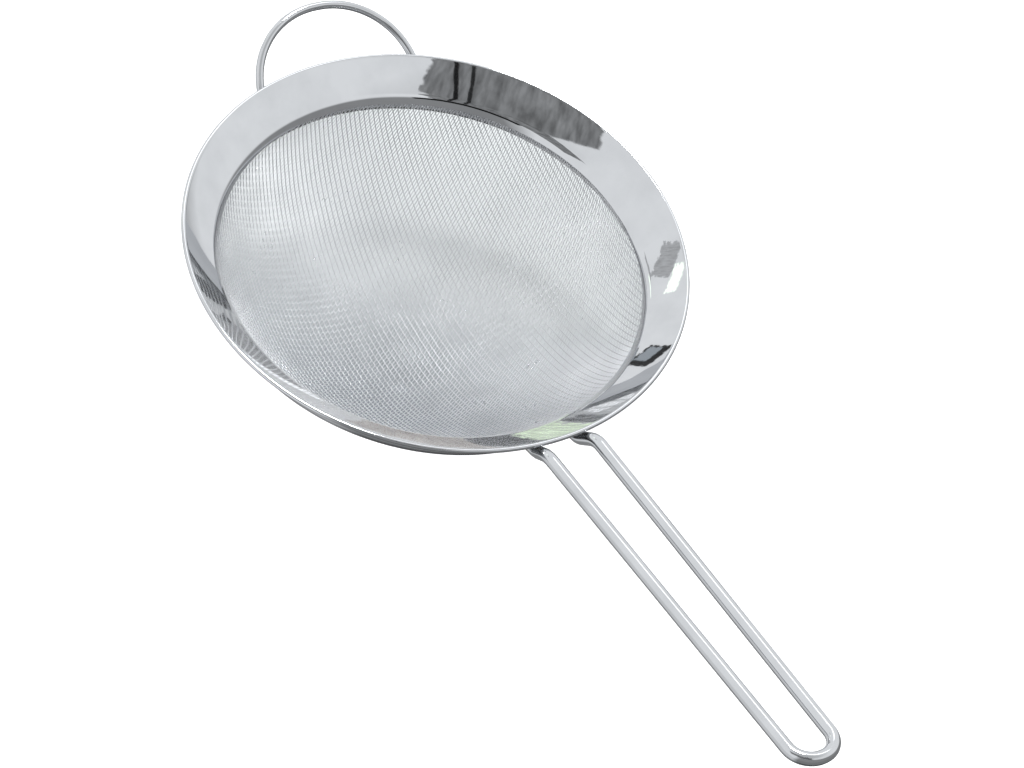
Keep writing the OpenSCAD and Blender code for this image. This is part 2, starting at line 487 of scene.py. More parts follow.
@dataclass(frozen=True)
class FloorFinish:
    """Pale paper on a light table, with one painted grey disc that darkens the ground behind the cloth.

    Attributes:
        shade_x: X of the disc's middle, in millimetres.
        shade_y: Y of the disc's middle, in millimetres.
        shade_r: where the disc is full and where it ends, as distances from its middle.
        name: the material's name.
        colour: the paper's colour.
        shaded: the disc's colour on the side away from the camera.
        near: the disc's colour on the camera's side, its darkest painted shade.
        glow: how much the table glows.
    """

    shade_x: float
    shade_y: float
    shade_r: tuple[float, float]
    name: str = "pale_paper"
    colour: Colour = (0.93, 0.93, 0.93, 1.0)
    shaded: Colour = (0.86, 0.89, 0.89, 1.0)
    near: Colour = (0.30, 0.33, 0.37, 1.0)
    glow: float = 0.6

    def material(self) -> bpy.types.Material:
        """Make the material.

        The paper doesn't glow on the disc. The disc's colour runs from near to shaded in the direction
        from the Z axis to its middle, over half a radius on each side of the Z axis.

        Returns:
            The material.
        """
        made, s = Shading.of_material(self.name)
        place = s.object_place()
        flat = s.vector("MULTIPLY", place, FLAT)
        middle = (self.shade_x * MM, self.shade_y * MM, 0.0)
        full, end = self.shade_r
        clear = s.spread(s.measure("DISTANCE", flat, middle), full * MM, end * MM, 0.0, 1.0)
        side = s.measure("DOT_PRODUCT", flat, middle)
        reach = 0.5 * full * math.hypot(self.shade_x, self.shade_y) * MM**2
        # painted shade: the disc is darker on the camera's side and lighter away from it
        shade = s.mixed(s.spread(side, -reach, reach, 0.0, 1.0), self.near, self.shaded)
        colour = s.mixed(clear, shade, self.colour)
        shader = s.add("ShaderNodeBsdfPrincipled", {
            "Base Color": colour, "Roughness": 0.9, "Emission Color": colour,
            "Emission Strength": s.math("MULTIPLY", clear, self.glow),
        })
        s.add("ShaderNodeOutputMaterial", {"Surface": shader.outputs[0]})
        return made


# ---------------------------------------------------------------- the strainer


@dataclass
class Rim:
    """The dished sheet: a lip, a sloping flange and a rolled edge. Sizes are in millimetres.

    Attributes:
        outer_r: radius of the whole rim.
        top_z: height of the rolled edge's top.
        low_z: height of the lip's lowest edge.
        lip_w: width of the lip.
        lip_h: height of the lip.
        flange_w: width of the flange with its rolled edge.
        sheet_t: thickness of the sheet.
        edge_d: diameter of the rolled edge.
        edge_proud: how far the rolled edge stands out of the flange's upper face.
        bow: how far the flange bows down between its two edges.
        mouth_slope: slope of the lip at the mouth, in degrees.
        mouth_round: radius of the mouth's two edges.
        ripple: height of the faint unevenness that polishing leaves.
        segments: steps round the axis.
    """

    outer_r: float
    top_z: float
    low_z: float
    lip_w: float = 1.3
    lip_h: float = 1.25
    flange_w: float = 6.4
    sheet_t: float = 0.4
    edge_d: float = 0.9
    edge_proud: float = 0.01
    bow: float = 0.11
    mouth_slope: float = 60.0
    mouth_round: float = 0.03
    ripple: float = 0.004
    segments: int = 768

    @classmethod
    def from_frame(cls) -> Rim:
        """The rim that fills the CAD node's box."""
        low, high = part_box("rim")
        return cls(outer_r=high.x / MM, top_z=high.z / MM, low_z=low.z / MM)

    def __post_init__(self) -> None:
        """Work out the radii, heights and slopes that other pieces line up with."""
        self.edge_r = self.edge_d / 2
        self.crease_r = self.outer_r - self.flange_w
        self.mouth_r = self.crease_r - self.lip_w
        self.edge_centre = np.array([self.outer_r - self.edge_r, self.top_z - self.edge_r])
        self.lip_a = math.atan2(self.lip_h, self.lip_w)
        self.lip_z = self.low_z + self.sheet_t * math.cos(self.lip_a)
        self.crease_z = self.lip_z + self.lip_h
        run = self.edge_centre - np.array([self.crease_r, self.crease_z])
        cover = self.edge_r - self.edge_proud
        self.flange_a = math.atan2(run[1], run[0]) + math.asin(cover / float(np.linalg.norm(run)))

    def below(self, slope: float, depth: float) -> np.ndarray:
        """A step of that depth out of the sheet's lower face, at a place with that slope."""
        return depth * np.array([math.sin(slope), -math.cos(slope)])

    def crease(self, depth: float) -> np.ndarray:
        """The crease's corner, that far below the upper faces."""
        mid, half = (self.lip_a + self.flange_a) / 2, (self.flange_a - self.lip_a) / 2
        return np.array([self.crease_r, self.crease_z]) + self.below(mid, depth) / math.cos(half)

    def under_z(self, radius: np.ndarray | float) -> np.ndarray | float:
        """Height of the flange's lower face at a radius."""
        rise = (radius - self.crease_r) * math.tan(self.flange_a)
        return self.crease_z + rise - self.sheet_t / math.cos(self.flange_a)

    def lip(self, depth: float) -> np.ndarray:
        """The lip, that far below its upper face, from the flange in to the mouth.

        It is an arc whose slope grows from the flange's own to the steep one at the mouth. At a slope t,
        with a bend radius R, it has gone R (sin t - sin t0) inwards and R (cos t0 - cos t) down.
        """
        start, end = self.flange_a, math.radians(self.mouth_slope)
        bend = self.lip_w / (math.sin(end) - math.sin(start))
        t = np.linspace(start, end, 20)
        inwards = self.crease_r - bend * (np.sin(t) - math.sin(start))
        height = self.crease_z - bend * (math.cos(start) - np.cos(t))
        return np.stack([inwards + depth * np.sin(t), height - depth * np.cos(t)], 1)

    def outline(self) -> np.ndarray:
        """The closed section, counter-clockwise from the mouth's lower corner.

        The flange's upper face is a shallow arch, 4 t (1 - t) high.
        """
        centre, a = self.edge_centre, self.flange_a
        cover = self.edge_r - self.edge_proud
        start, end = a + math.pi, a + 2.5 * math.pi + math.acos(cover / self.edge_r)
        angle = np.linspace(start, end, 30)[:, None]
        roll = centre + self.edge_r * np.concatenate([np.cos(angle), np.sin(angle)], 1)
        over, under = self.lip(0.0), self.lip(self.sheet_t)[::-1]
        t = np.linspace(0, 1, 34)[1:-1, None]
        top = roll[-1] + (over[0] - roll[-1]) * t + self.below(a, self.bow) * 4 * t * (1 - t)
        corners = np.concatenate([under, roll, top, over])
        radii = np.zeros(len(corners))
        radii[0] = radii[-1] = self.mouth_round
        return rounded(corners, list(radii), 6, closed=True)

    def unevenness(self, outline: np.ndarray) -> np.ndarray:
        """A faint ripple in the sheet: a few waves of random phase in angle and radius, added up."""
        rng = np.random.default_rng(7)
        angle = np.linspace(0, 2 * np.pi, self.segments, endpoint=False)[None, :]
        across = outline[:, :1]
        total = np.zeros((len(outline), self.segments))
        for lobes, pitch in ((7, 9.0), (13, 6.0), (23, 4.5), (41, 5.0), (57, 3.4)):
            phase = rng.uniform(0, 2 * np.pi, 2)
            wave = np.sin(lobes * angle + phase[0] + np.sin(2 * np.pi * across / pitch + phase[1]))
            total += wave * self.ripple * 7 / lobes
        return total

    def build(self, finish: SteelFinish) -> bpy.types.Object:
        """Make the rim.

        Args:
            finish: its finish.

        Returns:
            The piece.
        """
        outline = self.outline()
        surface = revolved(outline, self.segments, self.unevenness(outline))
        return surface.to_piece("rim_sheet", Slot.SHEET, finish.material(), "rim")


@dataclass(frozen=True)
class Lay:
    """One of the two sets of wires in the cloth.

    Attributes:
        name: warp or weft.
        heading: direction that the wires run in, in degrees from +X.
        pitch: distance between wires, in millimetres.
        wire_d: diameter of a wire, in millimetres.
        crimp: how far it swings up and down, in millimetres; minus for the lay that starts below.
    """

    name: str
    heading: float
    pitch: float
    wire_d: float
    crimp: float

    @property
    def along(self) -> np.ndarray:
        """The direction that the wires run in."""
        return np.array([math.cos(math.radians(self.heading)), math.sin(math.radians(self.heading))])

    @property
    def across(self) -> np.ndarray:
        """The direction from one wire to the next."""
        return np.array([-self.along[1], self.along[0]])


@dataclass
class WovenBowl:
    """The bowl of plain-woven wire cloth. Sizes are in millimetres.

    Attributes:
        rim: the rim that it hangs from.
        bottom_z: height of its lowest point.
        lays: the warp and the weft.
        tuck: length of cloth under the lip.
        tuck_slope: its slope, in degrees.
        sides: points round a wire.
        steps: rings from one crossing to the next.
        groups: number of pieces for each lay.
        stray: how far a wire strays sideways.
        dent: how far the cloth's dents go in and out.
    """

    rim: Rim
    bottom_z: float
    lays: tuple[Lay, Lay] = (
        Lay("warp", -59.0, 0.585, 0.17, 0.07),
        Lay("weft", 0.0, 1.17, 0.20, -0.05),
    )
    tuck: float = 0.9
    tuck_slope: float = 20.0
    sides: int = 6
    steps: int = 4
    groups: int = 3
    stray: float = 0.02
    dent: float = 0.12

    @classmethod
    def from_frame(cls, rim: Rim) -> WovenBowl:
        """The bowl that fills the CAD node's box."""
        return cls(rim=rim, bottom_z=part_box("mesh_bowl")[0].z / MM)

    def __post_init__(self) -> None:
        """Work out the sphere that the middle of the cloth follows.

        It goes through the middle of the cloth's thickness under the lip's edge and at the bottom.
        """
        half_t = max(abs(lay.crimp) + lay.wire_d / 2 for lay in self.lays)
        top = np.array([self.rim.mouth_r, self.rim.lip_z])
        top = top + self.rim.below(self.rim.lip_a, self.rim.sheet_t + half_t)
        drop = top[1] - (self.bottom_z + half_t)
        self.sphere_r = (top[0] ** 2 + drop**2) / (2 * drop)
        self.centre_z = self.bottom_z + half_t + self.sphere_r
        self.top_a = math.asin(top[0] / self.sphere_r)
        self.reach = self.sphere_r * self.top_a + self.tuck

    def dents(self, u: np.ndarray, v: np.ndarray) -> np.ndarray:
        """Shallow dents of the pressed cloth: waves of random direction and phase, added up."""
        rng = np.random.default_rng(11)
        total = np.zeros_like(u)
        for length in (34.0, 23.0, 15.0, 11.0, 8.0):
            heading, phase = rng.uniform(0, 2 * np.pi, 2)
            wave = 2 * np.pi * (u * math.cos(heading) + v * math.sin(heading)) / length
            total += np.sin(wave + phase) * length / 34.0
        return total * self.dent * 0.5

    def on_bowl(self, flat: np.ndarray, lift: np.ndarray) -> tuple[np.ndarray, np.ndarray]:
        """Press a place on the flat cloth into the bowl.

        A place at distance d from the middle goes to the angle d / R on the sphere, so lengths along a
        radius stay. Past the lip's edge it goes straight on, nearly flat, to end in the clamp ring. The
        dents fade out over the outer quarter.

        Args:
            flat: places on the flat cloth, one row each.
            lift: height above the middle of the cloth.

        Returns:
            The points, and the cloth's normal at each of them.
        """
        d = np.maximum(np.hypot(flat[:, 0], flat[:, 1]), 1e-9)
        out = np.concatenate([flat / d[:, None], np.zeros((len(d), 1))], 1)
        edge = self.sphere_r * self.top_a
        a = np.minimum(d, edge) / self.sphere_r
        past = np.maximum(d - edge, 0)
        lip = math.radians(self.tuck_slope)
        radius = self.sphere_r * np.sin(a) + past * math.cos(lip)
        height = self.centre_z - self.sphere_r * np.cos(a) + past * math.sin(lip)
        tilt = np.where(past > 0, lip, a)
        upright = np.array([0.0, 0.0, 1.0])
        normal = -np.sin(tilt)[:, None] * out + np.cos(tilt)[:, None] * upright
        fade = np.clip(4 * (1 - d / edge), 0, 1)
        shift = lift + self.dents(flat[:, 0], flat[:, 1]) * fade
        return radius[:, None] * out + height[:, None] * upright + shift[:, None] * normal, normal

    def wire(self, lay: Lay, other: Lay, number: int, rng: np.random.Generator) -> Surface:
        """One wire of the cloth.

        It goes over and under the wires that it crosses: where m counts the other lay's wires along it,
        its height is the crimp times cos(pi m), and its neighbours and the other lay have the other sign.

        Args:
            lay: the lay that it belongs to.
            other: the lay that it crosses.
            number: which wire, counted from the middle one.
            rng: the source of its small strays.

        Returns:
            The wire.
        """
        half = math.sqrt(max(self.reach**2 - (number * lay.pitch) ** 2, 0.0))
        crossing = other.pitch / abs(float(other.across @ lay.along))
        rings = max(int(2 * half / crossing * self.steps), 4)
        s = np.linspace(-half, half, rings)
        line = number * lay.pitch * lay.across + s[:, None] * lay.along
        counted = line @ other.across / other.pitch
        lift = lay.crimp * (-1) ** number * np.cos(math.pi * counted)
        phase = rng.uniform(0, 2 * np.pi, 2)
        stray = self.stray * (np.sin(s / 5.5 + phase[0]) + np.sin(s / 2.3 + phase[1])) / 2
        path, normal = self.on_bowl(line + stray[:, None] * lay.across, lift)
        return swept(path, np.full(rings, lay.wire_d / 2), normal, self.sides, with_uv=False)

    def build(self, finish: SteelFinish) -> list[bpy.types.Object]:
        """Weave the bowl.

        Each lay is shared out among several pieces of neighbouring wires, with about the same length of
        wire in each.

        Args:
            finish: the wires' finish.

        Returns:
            The pieces.
        """
        rng, material, pieces = np.random.default_rng(3), finish.material(), []
        for lay, other in (self.lays, self.lays[::-1]):
            most = int(self.reach / lay.pitch)
            numbers = np.arange(-most, most + 1)
            share = np.cumsum(np.sqrt(np.maximum(self.reach**2 - (numbers * lay.pitch) ** 2, 0)))
            group = np.minimum((share / share[-1] * self.groups).astype(int), self.groups - 1)
            for g in range(self.groups):
                wires = [self.wire(lay, other, int(n), rng) for n in numbers[group == g]]
                nodes = () if pieces else ("mesh_bowl",)
                woven = Surface.joined(wires)
                pieces.append(woven.to_piece(f"mesh_{lay.name}_{g + 1}", Slot.CLOTH, material, *nodes))
        return pieces


@dataclass
class ClampRing:
    """The hoop under the lip that grips the cloth's edge. Sizes are in millimetres.

    Attributes:
        rim: the rim that it sits against.
        outer_r: its outer radius.
        foot_z: height of its foot.
        wall: its thickness.
        cloth_t: thickness of the cloth that it grips.
        fit_gap: gap between it and the sheet above it.
        round_r: radius of its rounded foot.
        segments: steps round the axis.
    """

    rim: Rim
    outer_r: float
    foot_z: float
    wall: float = 0.8
    cloth_t: float = 0.5
    fit_gap: float = 0.01
    round_r: float = 0.2
    segments: int = 512

    @classmethod
    def from_frame(cls, rim: Rim) -> ClampRing:
        """The ring that fills the CAD node's box."""
        low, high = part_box("clamp_ring")
        return cls(rim=rim, outer_r=high.x / MM, foot_z=low.z / MM)

    def build(self, finish: SteelFinish) -> bpy.types.Object:
        """Make the ring: a section with a rounded foot, turned about the axis.

        Args:
            finish: its finish.

        Returns:
            The piece.
        """
        inner_r = self.outer_r - self.wall
        shoulder = self.rim.crease(self.rim.sheet_t + self.cloth_t)
        grip_z = shoulder[1] - (shoulder[0] - inner_r) * math.tan(self.rim.lip_a)
        corners = np.array([
            [inner_r, self.foot_z],
            [self.outer_r, self.foot_z],
            [self.outer_r, float(self.rim.under_z(self.outer_r)) - self.fit_gap],
            self.rim.crease(self.rim.sheet_t + self.fit_gap),
            shoulder,
            [inner_r, grip_z],
        ])
        radii = (self.round_r, self.round_r, 0, 0, 0, 0)
        surface = revolved(rounded(corners, radii, 6, closed=True), self.segments)
        return surface.to_piece("clamp_hoop", Slot.SHEET, finish.material(), "clamp_ring")


@dataclass
class WeldedWire:
    """A bent wire whose two ends are welded under the rim. Sizes are in millimetres.

    Attributes:
        rim: the rim that it is welded to.
        wire_d: diameter of the wire.
        name: the piece's name.
        node: the CAD node that it stands for.
        weld_r: distance of its ends from the axis.
        sides: points round the wire.
        spacing: distance between rings.
        bead_l: length of the weld metal at an end.
        bead_w: width of the weld metal.
        bead_t: height of the weld metal at its middle.
        bead_at: where its middle lies, as a share of its length out from the wire's end.
        bead_sunk: how far its flat back lies inside the sheet.
        end_round: how much of the wire's radius is rounded off at an end.
    """

    rim: Rim
    wire_d: float
    name: str
    node: str
    weld_r: float = 42.639
    sides: int = 28
    spacing: float = 0.25
    bead_l: float = 4.2
    bead_w: float = 2.6
    bead_t: float = 0.5
    bead_at: float = 0.3
    bead_sunk: float = 0.05
    end_round: float = 0.35

    def path(self) -> np.ndarray:
        """The middle line, from weld to weld."""
        raise NotImplementedError

    def weld_spots(self) -> np.ndarray:
        """The middle of each weld, on the rim's lower face."""
        raise NotImplementedError

    def even(self, line: np.ndarray) -> np.ndarray:
        """Place points evenly along a line.

        Args:
            line: its points, unevenly spaced.

        Returns:
            Points about the wire's spacing apart.
        """
        gone = np.concatenate([[0], np.cumsum(np.linalg.norm(np.diff(line, axis=0), axis=1))])
        at = np.linspace(0, gone[-1], int(gone[-1] / self.spacing) + 1)
        return np.stack([np.interp(at, gone, line[:, k]) for k in range(3)], 1)

    def ends(self, count: int) -> np.ndarray:
        """Radius of each ring: the wire's own, rounded off over the last bit at both ends.

        At a distance x from an end, the radius loses b (1 - sqrt(1 - (1 - x / b)^2)) over the blend b.
        """
        blend = self.end_round * self.wire_d / 2
        x = np.minimum(np.arange(count), np.arange(count)[::-1]) * self.spacing
        away = np.clip(1 - x / blend, 0, 1)
        return self.wire_d / 2 - blend * (1 - np.sqrt(1 - away**2))

    def bead(self, spot: np.ndarray) -> Surface:
        """Weld metal squeezed out round one end, a low dome against the rim's lower face.

        On a disc of share q from the middle, the dome hangs t (1 - q^2)^1.5 below the face.

        Args:
            spot: the weld's middle.

        Returns:
            The dome, closed by its own flat back inside the sheet.
        """
        rings, count = 12, 36
        q = np.linspace(0.04, 1, rings)[:, None]
        a = np.linspace(0, 2 * np.pi, count, endpoint=False)[None]
        heading = math.atan2(spot[1], spot[0])
        wobble = 1 + 0.06 * np.sin(3 * a + spot[1]) + 0.04 * np.sin(5 * a + spot[0])
        out = self.bead_l / 2 * q * np.cos(a) * wobble * math.cos(self.rim.flange_a)
        side = self.bead_w / 2 * q * np.sin(a) * wobble
        radius = math.hypot(spot[0], spot[1]) + out
        x = radius * math.cos(heading) - side * math.sin(heading)
        y = radius * math.sin(heading) + side * math.cos(heading)
        face = self.rim.under_z(np.hypot(x, y)) + self.bead_sunk
        hang = self.bead_t * (1 - q**2) ** 1.5 + 0 * a
        dome = np.stack([x, y, face - hang], -1)
        points = dome.reshape(-1, 3)
        quads, row, column = grid_faces(rings, count, wrap_rows=False)
        middle = np.arange(count)[None]
        outer = (rings - 1) * count + np.arange(count)[None, ::-1]
        uv = np.stack([column * 0.2, row * 0.2], -1)
        flat = np.stack([np.arange(count) * 0.2, np.zeros(count)], -1)[None]
        return Surface(points, [quads[:, ::-1], middle[:, ::-1], outer[:, ::-1]], [uv[:, ::-1], flat, flat])

    def build(self, finish: SteelFinish) -> bpy.types.Object:
        """Make the wire with its weld metal.

        Where the wire would rise above the rim's lower face it is pressed flat against it, which makes
        its seats.

        Args:
            finish: its finish.

        Returns:
            The piece.
        """
        path = self.even(self.path())
        tube = swept(path, self.ends(len(path)), np.array([0.0, 0.0, 1.0]), self.sides)
        radius = np.hypot(tube.points[:, 0], tube.points[:, 1])
        inside = radius < self.rim.edge_centre[0]
        pressed = np.minimum(tube.points[:, 2], self.rim.under_z(radius))
        tube.points[:, 2] = np.where(inside, pressed, tube.points[:, 2])
        beads = [self.bead(spot) for spot in self.weld_spots()]
        return Surface.joined([tube, *beads]).to_piece(self.name, Slot.WIRE, finish.material(), self.node)


@dataclass
class Handle(WeldedWire):
    """The long hairpin handle. Sizes are in millimetres, and angles in degrees.

    Attributes:
        tip_x: how far out the middle of the wire reaches at the tip.
        weld_gap: distance between the legs at their welds.
        root_gap: distance between the legs outside the rim.
        tip_gap: distance between the legs at the tip.
        slope: upward slope of the straight run.
        lift: height of the root above the middle of the rolled edge.
        sink: depth of the wire's flat seat.
        weld_slope: slope of the welded end.
        rise_slope: slope of the rise round the rolled edge.
        rise_gap: gap between the rise and the rolled edge.
        bends: radii of the low bend and the high bend.
    """

    tip_x: float = 0.0
    weld_gap: float = 8.8
    root_gap: float = 10.2
    tip_gap: float = 8.6
    slope: float = 9.0
    lift: float = 0.15
    sink: float = 0.35
    weld_slope: float = 18.0
    rise_slope: float = 45.0
    rise_gap: float = 0.1
    bends: tuple[float, float] = (4.0, 5.0)

    @classmethod
    def from_frame(cls, rim: Rim, wire_d: float = 2.5) -> Handle:
        """The handle that fills the CAD node's box."""
        tip_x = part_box("handle")[1].x / MM - wire_d / 2
        return cls(rim=rim, wire_d=wire_d, name="handle_wire", node="handle", tip_x=tip_x)

    def path(self) -> np.ndarray:
        """The middle line: each leg leaves its weld, rises round the rolled edge and runs to the tip."""
        rim, r = self.rim, self.wire_d / 2
        weld_t, rise_t = math.tan(math.radians(self.weld_slope)), math.tan(math.radians(self.rise_slope))
        weld_z = float(rim.under_z(self.weld_r)) - (r - self.sink) / math.cos(rim.flange_a)
        clear = rim.edge_centre + rim.below(math.radians(self.rise_slope), rim.edge_r + r + self.rise_gap)
        low_x = (weld_z - clear[1] + clear[0] * rise_t - self.weld_r * weld_t) / (rise_t - weld_t)
        low_z = weld_z + (low_x - self.weld_r) * weld_t
        root_z = rim.edge_centre[1] + self.lift
        root_x = low_x + (root_z - low_z) / rise_t
        tip_z = root_z + (self.tip_x - root_x) * math.tan(math.radians(self.slope))
        leg = np.array([
            [self.weld_r, self.weld_gap / 2, weld_z],
            [low_x, self.weld_gap / 2, low_z],
            [root_x, self.root_gap / 2, root_z],
            [self.tip_x, self.tip_gap / 2, tip_z],
        ])
        tip_r = 0.98 * self.tip_gap / 2
        radii = [0, *self.bends, tip_r, tip_r, *self.bends[::-1], 0]
        return rounded(np.concatenate([leg, leg[::-1] * [1, -1, 1]]), radii, 24, closed=False)

    def weld_spots(self) -> np.ndarray:
        """The middle of each weld, a little out from each end."""
        x = self.weld_r + self.bead_at * self.bead_l
        y = np.array([1, -1]) * self.weld_gap / 2
        radius = np.hypot(x, y)
        return np.stack([0 * y + x, y, self.rim.under_z(radius)], 1)


@dataclass
class RestLoop(WeldedWire):
    """The small loop opposite the handle. Sizes are in millimetres, and angles in degrees.

    Attributes:
        width: distance between its legs.
        length: reach beyond the rim, along the loop.
        slope: its upward slope.
        turn: its turn from straight opposite the handle.
        sink: depth of the wire's flat seat.
    """

    width: float = 32.3
    length: float = 11.3
    slope: float = 25.6
    turn: float = -4.0
    sink: float = 0.35

    @classmethod
    def from_frame(cls, rim: Rim, wire_d: float = 1.6) -> RestLoop:
        """The loop that stands in the CAD node's place."""
        return cls(
            rim=rim, wire_d=wire_d, name="rest_loop_wire", node="rest_loop", sides=24, spacing=0.2,
            bead_l=3.2, bead_w=1.8, bead_t=0.35, bead_at=0.25,
        )

    def placed(self, flat: np.ndarray) -> np.ndarray:
        """Slope the loop's own plane up, and turn it to its side of the rim."""
        slope, turn = math.radians(self.slope), math.radians(180 + self.turn)
        seat_x = math.sqrt(self.weld_r**2 - (self.width / 2) ** 2)
        seat_z = self.rim.under_z(self.weld_r) - (self.wire_d - self.sink) / 2 / math.cos(self.rim.flange_a)
        x, y = seat_x + flat[:, 0] * math.cos(slope), flat[:, 1]
        z = seat_z + flat[:, 0] * math.sin(slope)
        turned_x = x * math.cos(turn) - y * math.sin(turn)
        turned_y = x * math.sin(turn) + y * math.cos(turn)
        return np.stack([turned_x, turned_y, z], 1)

    def path(self) -> np.ndarray:
        """The middle line: out along one leg, round a half circle and back."""
        half = self.width / 2
        seat_x = math.sqrt(self.weld_r**2 - half**2)
        run = (self.rim.outer_r - seat_x) / math.cos(math.radians(self.slope)) + self.length
        corners = np.array([[0, half], [run, half], [run, -half], [0, -half]])
        return self.placed(rounded(corners, [0, 0.98 * half, 0.98 * half, 0], 60, closed=False))

    def weld_spots(self) -> np.ndarray:
        """The middle of each weld, a little out from each end."""
        x, half = self.bead_at * self.bead_l, self.width / 2
        spots = self.placed(np.array([[x, half], [x, -half]]))
        spots[:, 2] = self.rim.under_z(np.hypot(spots[:, 0], spots[:, 1]))
        return spots


# ---------------------------------------------------------------- the studio


def direction(azimuth: float, elevation: float) -> Vector:
    """The unit vector at an azimuth from +X and an elevation above the horizon, in degrees."""
    a, e = math.radians(azimuth), math.radians(elevation)
    return Vector((math.cos(e) * math.cos(a), math.cos(e) * math.sin(a), math.sin(e)))


def flat_sheet(
    name: str, corners: Sequence[Sequence[float]], material: bpy.types.Material
) -> bpy.types.Object:
    """Make a flat sheet with four corners, and a map that runs from 0 to 1 across it.

    Args:
        name: its name.
        corners: its corners in order, in metres.
        material: its material.

    Returns:
        The new object.
    """
    mesh = bpy.data.meshes.new(name)
    mesh.from_pydata([tuple(c) for c in corners], [], [(0, 1, 2, 3)])
    layer = mesh.uv_layers.new(name="face")
    layer.data.foreach_set("uv", [0.0, 0.0, 1.0, 0.0, 1.0, 1.0, 0.0, 1.0])
    mesh.materials.append(material)
    sheet = bpy.data.objects.new(name, mesh)
    bpy.context.scene.collection.objects.link(sheet)
    return sheet


@dataclass(frozen=True)
class Card:
    """A flat board in the studio that only reflections see.

    Attributes:
        name: its name.
        azimuth: its middle's direction from the strainer, in degrees from +X.
        elevation: its middle's height above the horizon, in degrees.
        width: its width as seen from the strainer, in degrees.
        height: its height as seen from the strainer, in degrees.
        glow: its brightness, where the walls of the studio have about 1.
        roll: its turn about the line to the strainer, in degrees.
        torn: how far its edge wavers, from 0 to 1.
        streaks: how much streaks across it change its brightness, from 0 to 1.
        colour: its colour.
    """

    name: str
    azimuth: float
    elevation: float
    width: float
    height: float
    glow: float
    roll: float = 0.0
    torn: float = 0.2
    streaks: float = 0.0
    colour: Colour = DAYLIGHT

    def material(self) -> bpy.types.Material:
        """Make a glowing material that streaks and fades out at a wavering edge.

        The edge's distance is the least of u, 1 - u, v and 1 - v, with noise added.

        Returns:
            The material.
        """
        made, s = Shading.of_material(self.name)
        place = s.add("ShaderNodeUVMap", uv_map="face").outputs[0]
        apart = s.add("ShaderNodeSeparateXYZ", {0: place})
        u, v = apart.outputs[0], apart.outputs[1]
        from_u = s.math("MINIMUM", u, s.math("SUBTRACT", 1.0, u))
        from_v = s.math("MINIMUM", v, s.math("SUBTRACT", 1.0, v))
        waver = s.math("MULTIPLY", s.math("SUBTRACT", s.noise(place, 7.0, 4.0), 0.5), self.torn)
        edge = s.math("ADD", s.math("MINIMUM", from_u, from_v), waver)
        streak = s.noise(s.vector("MULTIPLY", place, (26.0, 3.0, 0.0)), 1.0, 3.0)
        glow = s.spread(streak, 0.3, 0.7, self.glow * (1 - self.streaks), self.glow * (1 + self.streaks))
        light = s.add("ShaderNodeEmission", {"Color": self.colour, "Strength": glow})
        clear = s.add("ShaderNodeBsdfTransparent")
        share = s.spread(edge, 0.0, 0.02, 0.0, 1.0)
        mix = s.add("ShaderNodeMixShader", {0: share, 1: clear.outputs[0], 2: light.outputs[0]})
        s.add("ShaderNodeOutputMaterial", {"Surface": mix.outputs[0]})
        return made

    def build(self, distance: float) -> bpy.types.Object:
        """Make the board, facing the strainer.

        Args:
            distance: its distance from the strainer, in metres.

        Returns:
            The board, marked as no part of the object.
        """
        middle = direction(self.azimuth, self.elevation) * distance
        across = direction(self.azimuth + 90, 0)
        across.rotate(Quaternion(middle.normalized(), math.radians(self.roll)))
        up = middle.normalized().cross(across) * distance * math.tan(math.radians(self.height / 2))
        across = across * distance * math.tan(math.radians(self.width / 2))
        corners = [middle - across - up, middle + across - up, middle + across + up, middle - across + up]
        board = flat_sheet(self.name, corners, self.material())
        board.visible_camera = False
        board.visible_diffuse = False
        board.visible_shadow = False
        board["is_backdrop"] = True
        return board


